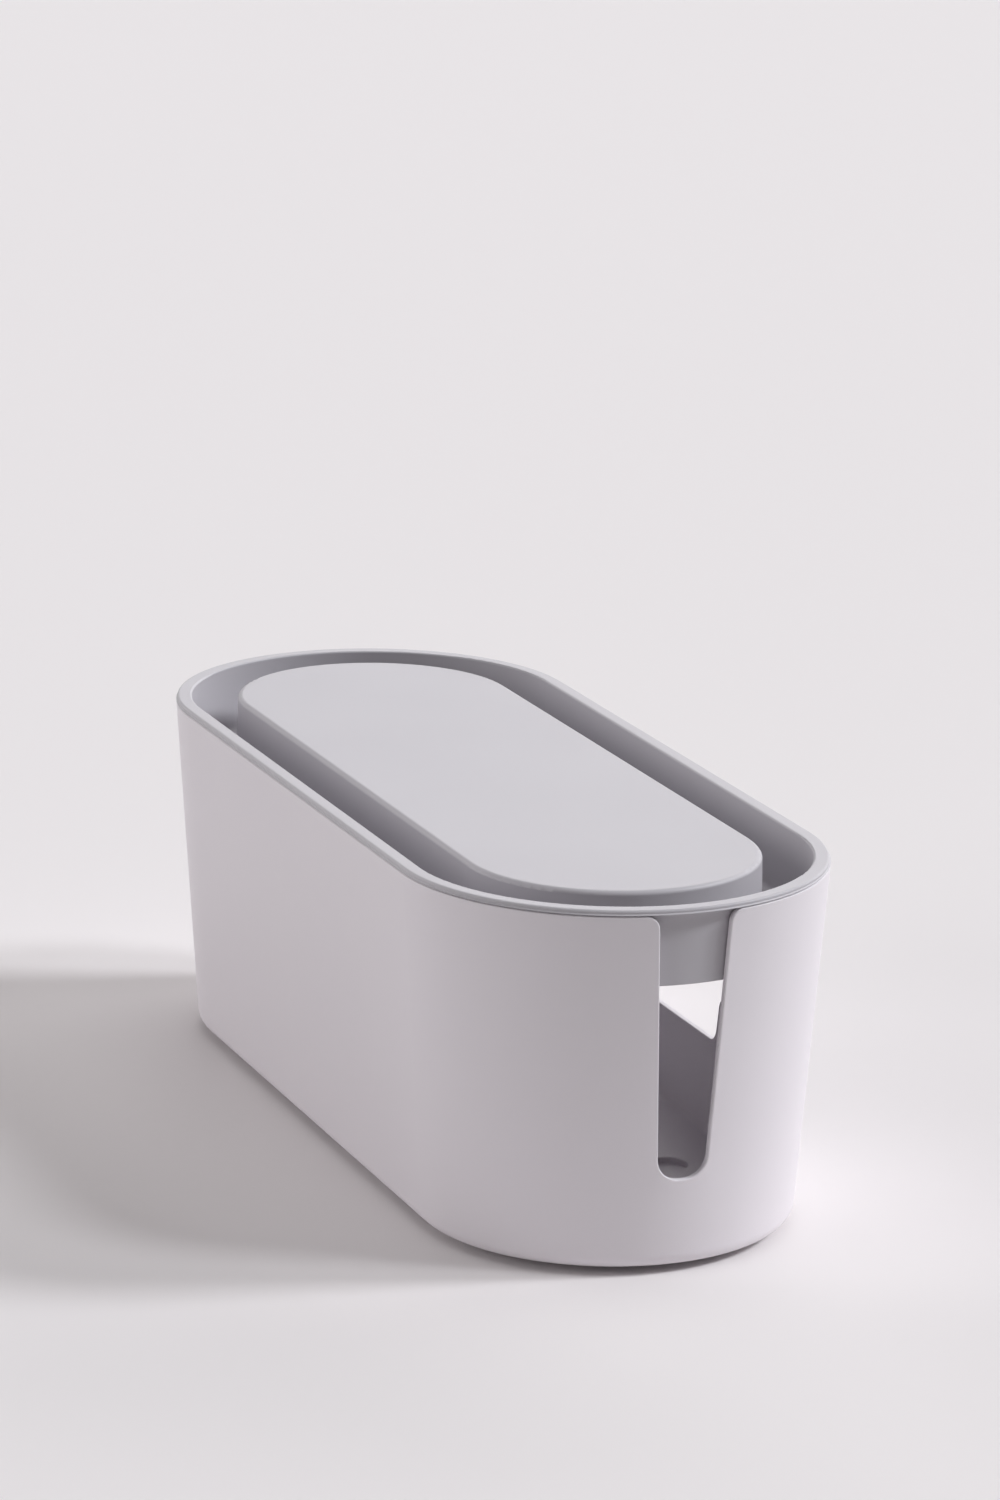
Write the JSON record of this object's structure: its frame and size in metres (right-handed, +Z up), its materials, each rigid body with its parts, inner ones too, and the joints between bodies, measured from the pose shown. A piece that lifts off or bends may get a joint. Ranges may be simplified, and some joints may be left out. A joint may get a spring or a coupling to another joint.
{
  "type": "cable management box",
  "caption": "Capsule-shaped open tub on low pads with cable slots in its ends and back, and a lift-off lid with a moat round a raised flat middle.",
  "frame": {"origin": "on the table, under the middle of the box", "axes": "+X along the box towards its right end slot, +Y towards the back with the wide cable opening, +Z up"},
  "size_m": [0.3892, 0.155, 0.1342],
  "materials": {
    "tub_plastic": "fine matte moulded white",
    "lid_plastic": "fine matte moulded light grey",
    "pad_silicone": "matte translucent grey silicone"
  },
  "bodies": {
    "tub": {"box_body": "tub_plastic", "foot_pad_front_left": "pad_silicone", "foot_pad_front_right": "pad_silicone", "foot_pad_back_left": "pad_silicone", "foot_pad_back_right": "pad_silicone"},
    "lid": {"lid": "lid_plastic"}
  },
  "joints": [
    {"name": "lid_lift", "type": "slide", "parent": "tub", "child": "lid", "axis": [0, 0, 1], "range_m": [0, 0.06]}
  ]
}
